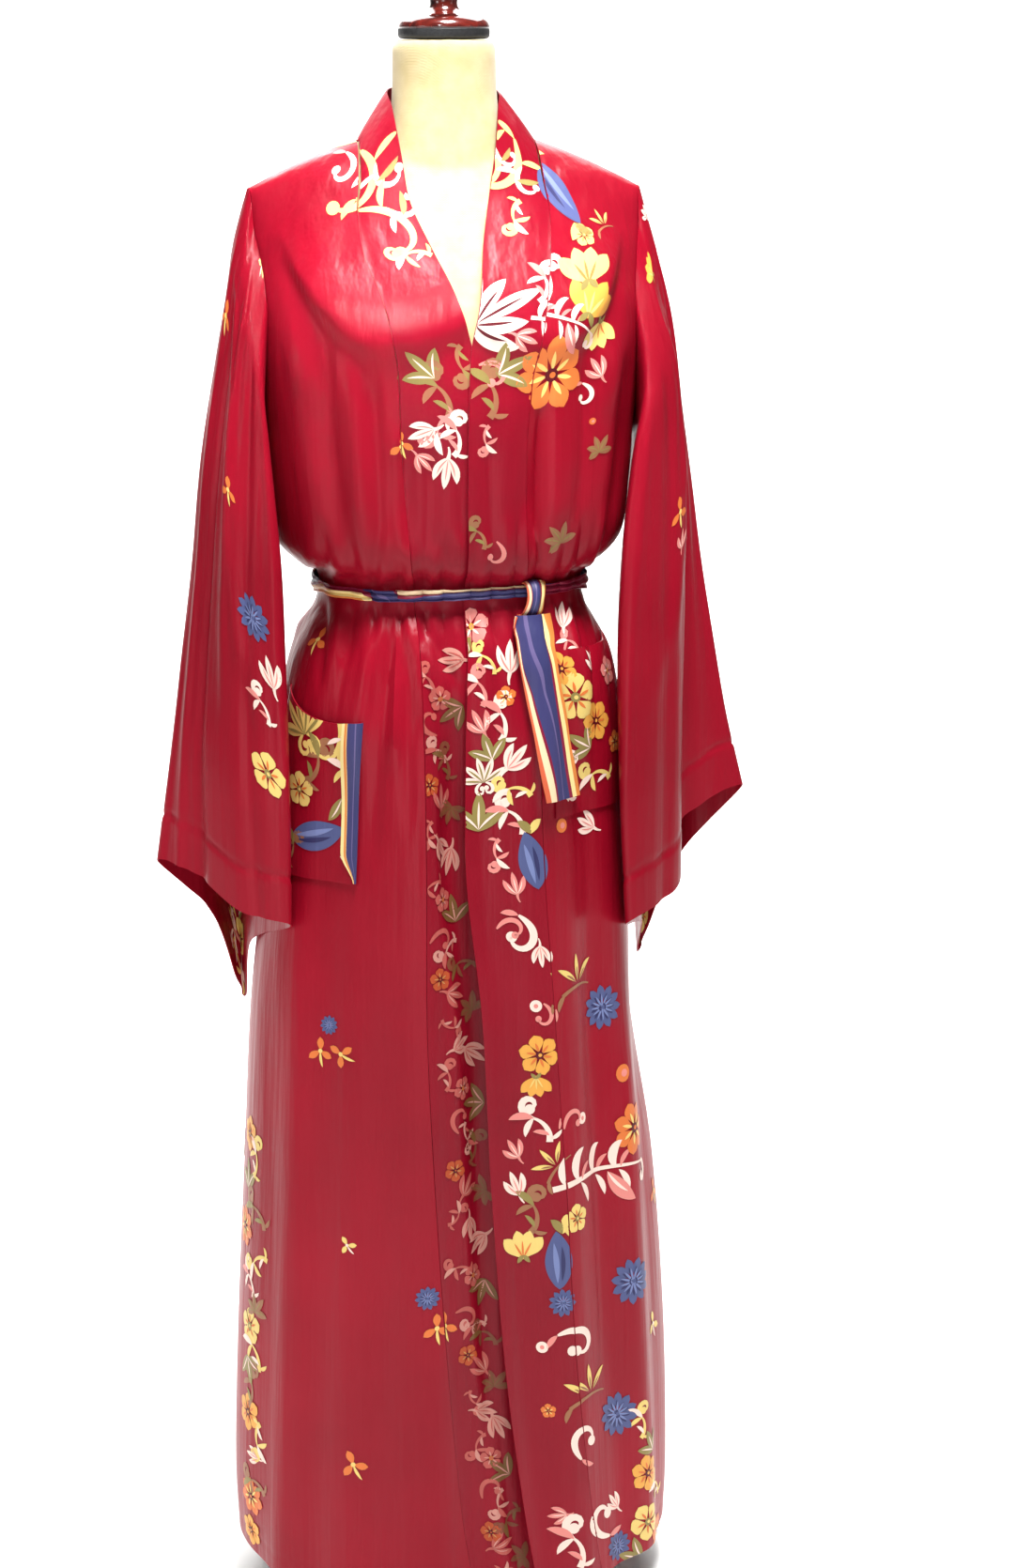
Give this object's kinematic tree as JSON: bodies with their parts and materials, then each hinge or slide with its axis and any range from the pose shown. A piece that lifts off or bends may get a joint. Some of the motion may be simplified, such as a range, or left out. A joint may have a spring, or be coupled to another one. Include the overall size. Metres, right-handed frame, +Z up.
{
  "type": "kimono robe on dress form",
  "caption": "Long belted satin kimono robe with wide hanging sleeves, neckband and patch pockets, worn by a limbless dress form on a round base.",
  "frame": {"origin": "middle of the stand base's flat underside, on the floor", "axes": "+Z up along the stand; the robe's front faces -Y; the wearer's left is +X"},
  "size_m": [0.5874, 0.3379, 1.6323],
  "materials": {
    "robe_satin": "crimson satin, soft sheen, printed with flowers and scrolls",
    "striped_satin": "satin with cream, orange and navy stripes along its length",
    "linen": "matt cream linen",
    "cap_wood": "dark red-brown polished wood",
    "pole_steel": "brushed steel tube",
    "base_iron": "black painted cast iron"
  },
  "bodies": {
    "root": {"back": "robe_satin", "right_front": "robe_satin", "left_front": "robe_satin", "right_sleeve": "robe_satin", "left_sleeve": "robe_satin", "neckband": "robe_satin", "right_pocket": "robe_satin", "left_pocket": "robe_satin", "right_pocket_trim": "striped_satin", "left_pocket_trim": "striped_satin", "belt": "striped_satin", "belt_knot": "striped_satin", "belt_tail": "striped_satin", "form_body": "linen", "form_cap": "cap_wood", "stand_pole": "pole_steel", "stand_base": "base_iron"}
  },
  "joints": []
}
